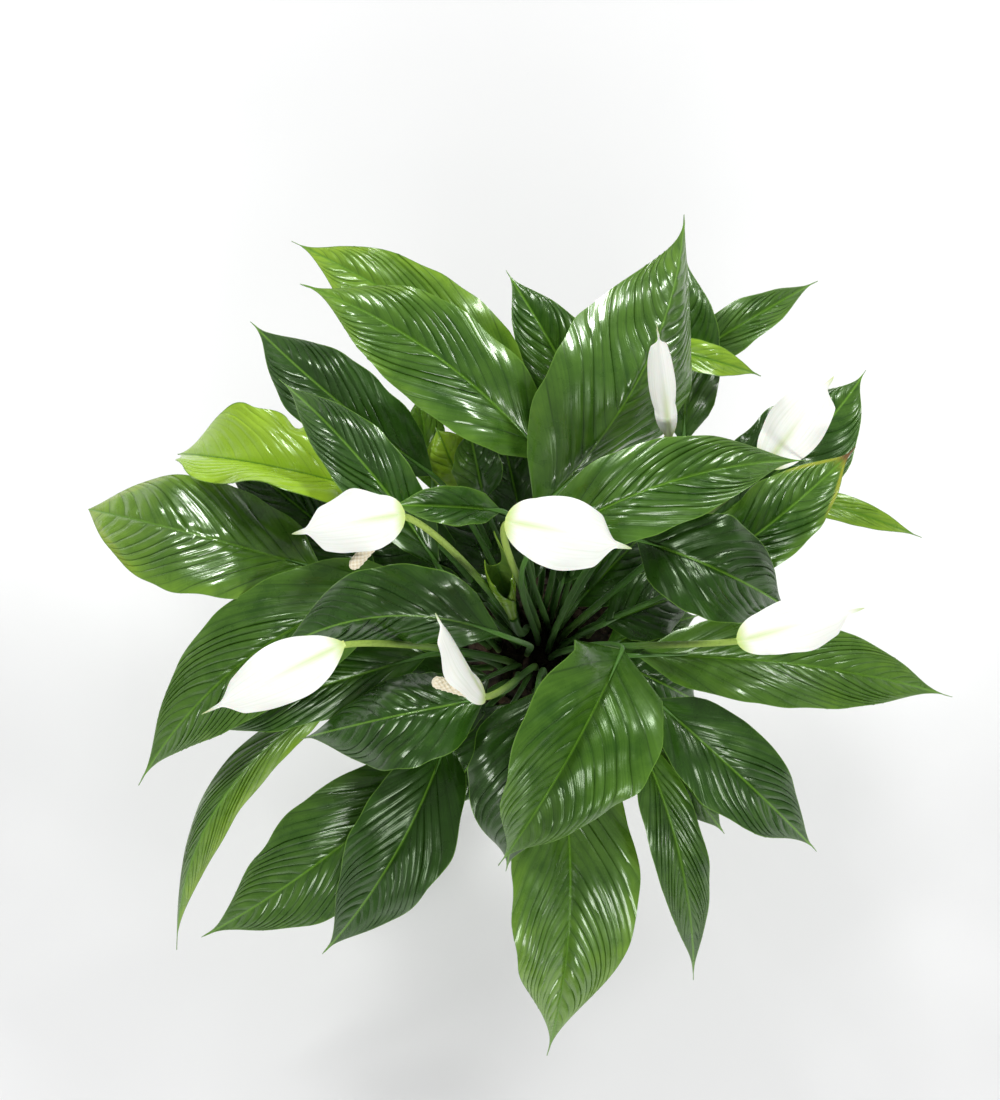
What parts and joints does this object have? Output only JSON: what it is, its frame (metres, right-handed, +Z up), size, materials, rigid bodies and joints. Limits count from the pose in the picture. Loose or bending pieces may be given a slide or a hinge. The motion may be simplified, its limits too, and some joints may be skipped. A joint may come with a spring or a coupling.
{
  "type": "potted peace lily",
  "caption": "Flowering peace lily in a plain tapered pot: arching glossy leaves on long stalks, with white hooded flowers above them.",
  "frame": {"origin": "centre of the pot's underside", "axes": "+Z up out of the pot, +Y towards the plant's far side as seen from its front, +X to the right"},
  "size_m": [0.6, 0.56, 0.53],
  "materials": {
    "leaf": "satin",
    "leaf_young": "satin",
    "flower_stalk": "satin",
    "spathe": "satin",
    "spadix": "matte",
    "pot": "gloss",
    "soil": "matte"
  },
  "bodies": {
    "root": {"pot": "pot", "soil": "soil", "leaf_01": "leaf", "leaf_02": "leaf", "leaf_03": "leaf", "leaf_04": "leaf", "leaf_05": "leaf", "leaf_06": "leaf", "leaf_07": "leaf_young", "leaf_08": "leaf", "leaf_09": "leaf", "leaf_10": "leaf", "leaf_11": "leaf_young", "leaf_12": "leaf", "leaf_13": "leaf", "leaf_14": "leaf", "leaf_15": "leaf", "leaf_16": "leaf", "leaf_17": "leaf", "leaf_18": "leaf", "leaf_19": "leaf", "leaf_20": "leaf", "leaf_21": "leaf", "leaf_22": "leaf", "leaf_23": "leaf", "leaf_24": "leaf", "leaf_25": "leaf", "leaf_26": "leaf", "leaf_27": "leaf", "leaf_28": "leaf", "leaf_29": "leaf", "leaf_30": "leaf", "leaf_31": "leaf", "leaf_32": "leaf_young", "leaf_33": "leaf", "leaf_34": "leaf_young", "leaf_35": "leaf", "leaf_36": "leaf", "leaf_37": "leaf_young", "flower_1_stalk": "flower_stalk", "flower_1_spathe": "spathe", "flower_1_spadix": "spadix", "flower_2_stalk": "flower_stalk", "flower_2_spathe": "spathe", "flower_2_spadix": "spadix", "flower_3_stalk": "flower_stalk", "flower_3_spathe": "spathe", "flower_3_spadix": "spadix", "flower_4_stalk": "flower_stalk", "flower_4_spathe": "spathe", "flower_4_spadix": "spadix", "flower_5_stalk": "flower_stalk", "flower_5_spathe": "spathe", "flower_5_spadix": "spadix", "flower_6_stalk": "flower_stalk", "flower_6_spathe": "spathe", "flower_6_spadix": "spadix", "flower_7_stalk": "flower_stalk", "flower_7_spathe": "spathe", "flower_7_spadix": "spadix"}
  },
  "joints": []
}
